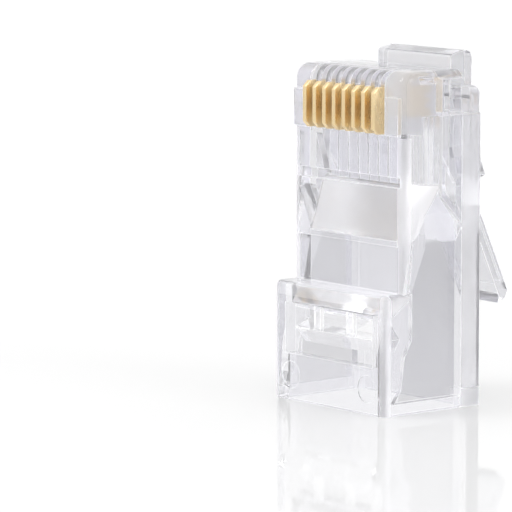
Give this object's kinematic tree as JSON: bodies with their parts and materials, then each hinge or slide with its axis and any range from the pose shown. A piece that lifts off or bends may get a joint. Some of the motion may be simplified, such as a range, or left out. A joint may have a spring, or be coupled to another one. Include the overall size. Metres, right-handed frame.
{
  "type": "rj45 modular plug",
  "caption": "Clear modular network cable plug with gilt blade contacts, a hinged latch and a strain relief bar.",
  "frame": {"origin": "centre of the cable end, on the plane of that end, midway through the foot's depth", "axes": "+Z from the cable end to the nose, +X across the width, +Y towards the latch side"},
  "size_m": [0.0116, 0.0152, 0.0243],
  "materials": {
    "clear_housing": "clear polished polycarbonate",
    "clear_latch": "clear polished polycarbonate",
    "clear_bar": "clear polished polycarbonate",
    "gold_contact": "gold plated, bright"
  },
  "bodies": {
    "housing": {"housing": "clear_housing"},
    "latch": {"latch": "clear_latch"},
    "strain_relief": {"strain_relief_bar": "clear_bar"},
    "contact_1": {"contact_1": "gold_contact"},
    "contact_2": {"contact_2": "gold_contact"},
    "contact_3": {"contact_3": "gold_contact"},
    "contact_4": {"contact_4": "gold_contact"},
    "contact_5": {"contact_5": "gold_contact"},
    "contact_6": {"contact_6": "gold_contact"},
    "contact_7": {"contact_7": "gold_contact"},
    "contact_8": {"contact_8": "gold_contact"}
  },
  "joints": [
    {"name": "latch_press", "type": "hinge", "parent": "housing", "child": "latch", "pos_m": [0, 0.0044, 0.021], "axis": [-1, 0, 0], "range_deg": [0, 13], "stiffness_Nm_per_rad": 0.12},
    {"name": "strain_relief_press", "type": "hinge", "parent": "housing", "child": "strain_relief", "pos_m": [0, -0.00355, 0.0068], "axis": [1, 0, 0], "range_deg": [0, 24]},
    {"name": "contact_1_crimp", "type": "slide", "parent": "housing", "child": "contact_1", "axis": [0, 1, 0], "range_m": [0, 0.0016]},
    {"name": "contact_2_crimp", "type": "slide", "parent": "housing", "child": "contact_2", "axis": [0, 1, 0], "range_m": [0, 0.0016]},
    {"name": "contact_3_crimp", "type": "slide", "parent": "housing", "child": "contact_3", "axis": [0, 1, 0], "range_m": [0, 0.0016]},
    {"name": "contact_4_crimp", "type": "slide", "parent": "housing", "child": "contact_4", "axis": [0, 1, 0], "range_m": [0, 0.0016]},
    {"name": "contact_5_crimp", "type": "slide", "parent": "housing", "child": "contact_5", "axis": [0, 1, 0], "range_m": [0, 0.0016]},
    {"name": "contact_6_crimp", "type": "slide", "parent": "housing", "child": "contact_6", "axis": [0, 1, 0], "range_m": [0, 0.0016]},
    {"name": "contact_7_crimp", "type": "slide", "parent": "housing", "child": "contact_7", "axis": [0, 1, 0], "range_m": [0, 0.0016]},
    {"name": "contact_8_crimp", "type": "slide", "parent": "housing", "child": "contact_8", "axis": [0, 1, 0], "range_m": [0, 0.0016]}
  ]
}
